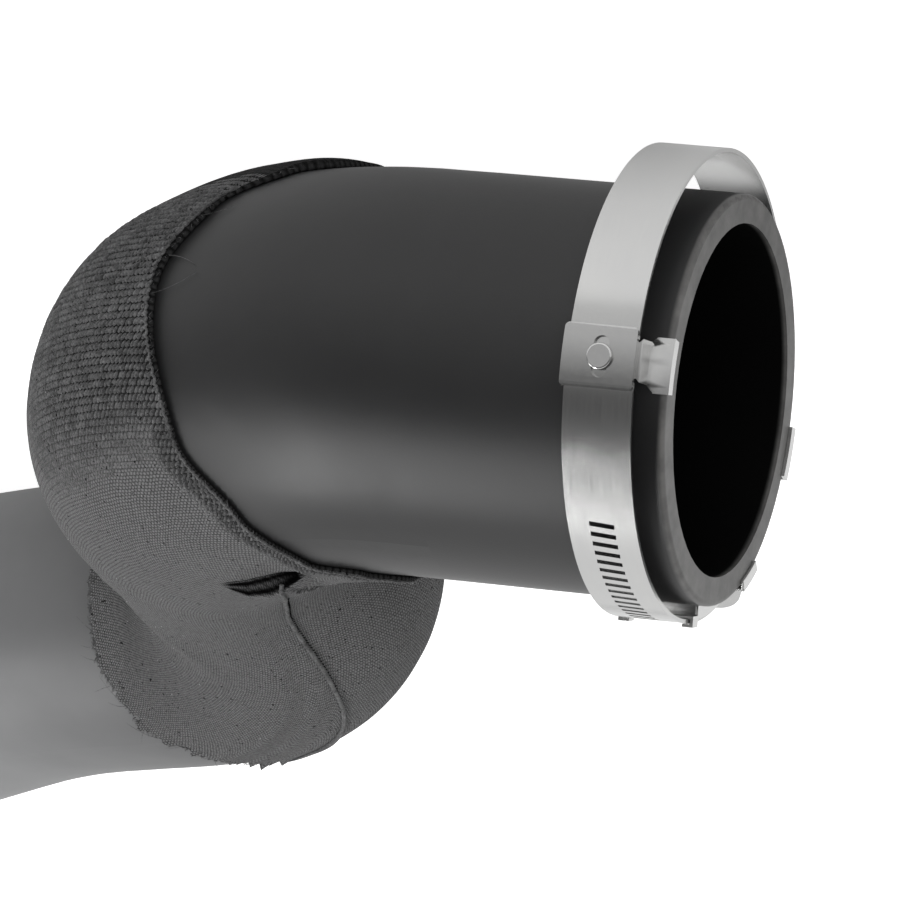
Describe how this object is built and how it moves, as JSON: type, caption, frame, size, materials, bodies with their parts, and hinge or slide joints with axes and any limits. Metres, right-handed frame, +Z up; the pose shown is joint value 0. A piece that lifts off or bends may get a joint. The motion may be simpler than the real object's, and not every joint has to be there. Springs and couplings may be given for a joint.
{
  "type": "charge air hose",
  "caption": "moulded rubber charge air hose with two elbows, a textile sleeve over the bends and a worm drive clamp held on its wide end by spring clips",
  "frame": {"origin": "centre of the wide mouth, on the hose's axis in the plane of its end face", "axes": "+X points out of the wide mouth along its bore; +Z points up from the floor on which the hose lies; the narrow end lies towards -X and -Y"},
  "size_m": [0.251, 0.2252, 0.0806],
  "materials": {
    "hose_rubber": "satin",
    "sleeve_fabric": "matte",
    "band_steel": "satin",
    "housing_steel": "satin",
    "screw_steel": "satin",
    "clip_steel": "satin",
    "plate_steel": "satin",
    "stud_steel": "satin"
  },
  "bodies": {
    "hose_and_clamp": {"hose": "hose_rubber", "textile_sleeve": "sleeve_fabric", "clamp_band": "band_steel", "worm_housing": "housing_steel", "guide_clip": "clip_steel", "spring_clip_near": "clip_steel", "cover_plate_near": "plate_steel", "clip_stud_near": "stud_steel", "spring_clip_far": "clip_steel", "cover_plate_far": "plate_steel", "clip_stud_far": "stud_steel"},
    "tightening_screw": {"worm_screw": "screw_steel"}
  },
  "joints": [
    {"name": "worm_screw_turn", "type": "hinge", "parent": "hose_and_clamp", "child": "tightening_screw", "pos_m": [-0.01, -0.04306, 0.0045], "axis": [0, -0.1392, -0.9903], "continuous": true, "deforming": ["clamp_band"]}
  ]
}
